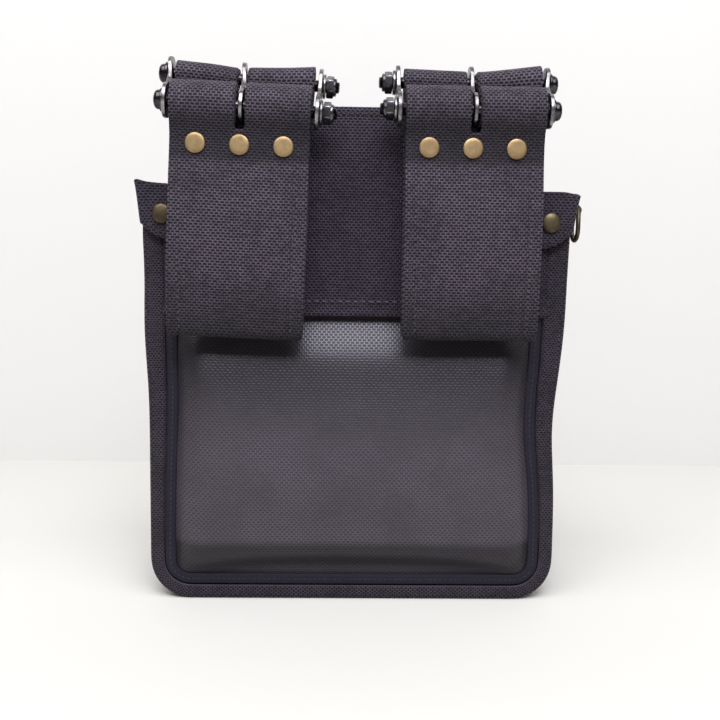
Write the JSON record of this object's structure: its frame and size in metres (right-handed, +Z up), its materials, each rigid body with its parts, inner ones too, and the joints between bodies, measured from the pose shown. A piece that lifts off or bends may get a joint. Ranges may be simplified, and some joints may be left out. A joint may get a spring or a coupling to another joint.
{
  "type": "electrician tool pouch",
  "caption": "Waist-worn ballistic nylon tool pouch with an open main bag, a front pocket with tool sleeves, and belt loops hung on bolted link plates.",
  "frame": {"origin": "centre of the flat base that the bag stands on", "axes": "+Z up to the mouth; -Y is the wearer's side, with the reinforcement and the belt loops; +Y is the front, with the pocket; +X is the right-hand side seen from the wearer's side"},
  "size_m": [0.2424, 0.1464, 0.2923],
  "materials": {
    "ballistic_nylon": "matte",
    "coated_nylon": "satin",
    "webbing": "matte",
    "binding_tape": "matte",
    "antique_brass": "satin",
    "plated_steel": "polished",
    "blackened_steel": "gloss",
    "stiffener": "matte"
  },
  "bodies": {
    "pouch": {"main_gusset": "ballistic_nylon", "back_panel": "coated_nylon", "front_panel": "ballistic_nylon", "bottom_board": "stiffener", "back_seam_tape": "binding_tape", "front_seam_tape": "binding_tape", "mouth_hem": "binding_tape", "back_reinforcement": "ballistic_nylon", "left_ear": "ballistic_nylon", "left_ear_rivet": "antique_brass", "right_ear": "ballistic_nylon", "right_ear_rivet": "antique_brass", "left_hanger": "webbing", "left_hanger_rivet_1": "antique_brass", "left_hanger_rivet_2": "antique_brass", "right_hanger": "webbing", "right_hanger_rivet_1": "antique_brass", "right_hanger_rivet_2": "antique_brass", "ring_tab": "webbing", "pocket_gusset": "ballistic_nylon", "pocket_face": "ballistic_nylon", "pocket_tape": "binding_tape", "left_tool_sleeve": "webbing", "middle_tool_sleeve": "webbing", "right_tool_sleeve": "webbing", "left_pocket_rivet": "antique_brass", "right_pocket_rivet": "antique_brass"},
    "left_link": {"left_outer_link_plate": "plated_steel", "left_middle_link_plate": "plated_steel", "left_inner_link_plate": "plated_steel", "left_rear_bolt": "blackened_steel", "left_rear_washer": "plated_steel", "left_rear_nut": "blackened_steel", "left_front_bolt": "blackened_steel", "left_front_washer": "plated_steel", "left_front_nut": "blackened_steel"},
    "left_loop": {"left_belt_loop": "webbing", "left_loop_rivet_1": "antique_brass", "left_loop_rivet_2": "antique_brass", "left_loop_rivet_3": "antique_brass"},
    "right_link": {"right_outer_link_plate": "plated_steel", "right_middle_link_plate": "plated_steel", "right_inner_link_plate": "plated_steel", "right_rear_bolt": "blackened_steel", "right_rear_washer": "plated_steel", "right_rear_nut": "blackened_steel", "right_front_bolt": "blackened_steel", "right_front_washer": "plated_steel", "right_front_nut": "blackened_steel"},
    "right_loop": {"right_belt_loop": "webbing", "right_loop_rivet_1": "antique_brass", "right_loop_rivet_2": "antique_brass", "right_loop_rivet_3": "antique_brass"},
    "ring": {"side_ring": "antique_brass"}
  },
  "joints": [
    {"name": "left_link_swing", "type": "hinge", "parent": "pouch", "child": "left_link", "pos_m": [-0.0575, -0.03745, 0.281], "axis": [-0.9978, 0, 0.0663], "range_deg": [0, 120]},
    {"name": "left_loop_swing", "type": "hinge", "parent": "left_link", "child": "left_loop", "pos_m": [-0.05862, -0.05645, 0.26414], "axis": [-0.9978, 0, 0.0663], "range_deg": [0, 150]},
    {"name": "right_link_swing", "type": "hinge", "parent": "pouch", "child": "right_link", "pos_m": [0.059, -0.03745, 0.281], "axis": [-1, 0, 0], "range_deg": [0, 120]},
    {"name": "right_loop_swing", "type": "hinge", "parent": "right_link", "child": "right_loop", "pos_m": [0.059, -0.05645, 0.2641], "axis": [-1, 0, 0], "range_deg": [0, 150]},
    {"name": "ring_swing", "type": "hinge", "parent": "pouch", "child": "ring", "pos_m": [0.1224, -0.018, 0.2175], "axis": [0, -1, 0], "range_deg": [0, 140]}
  ]
}
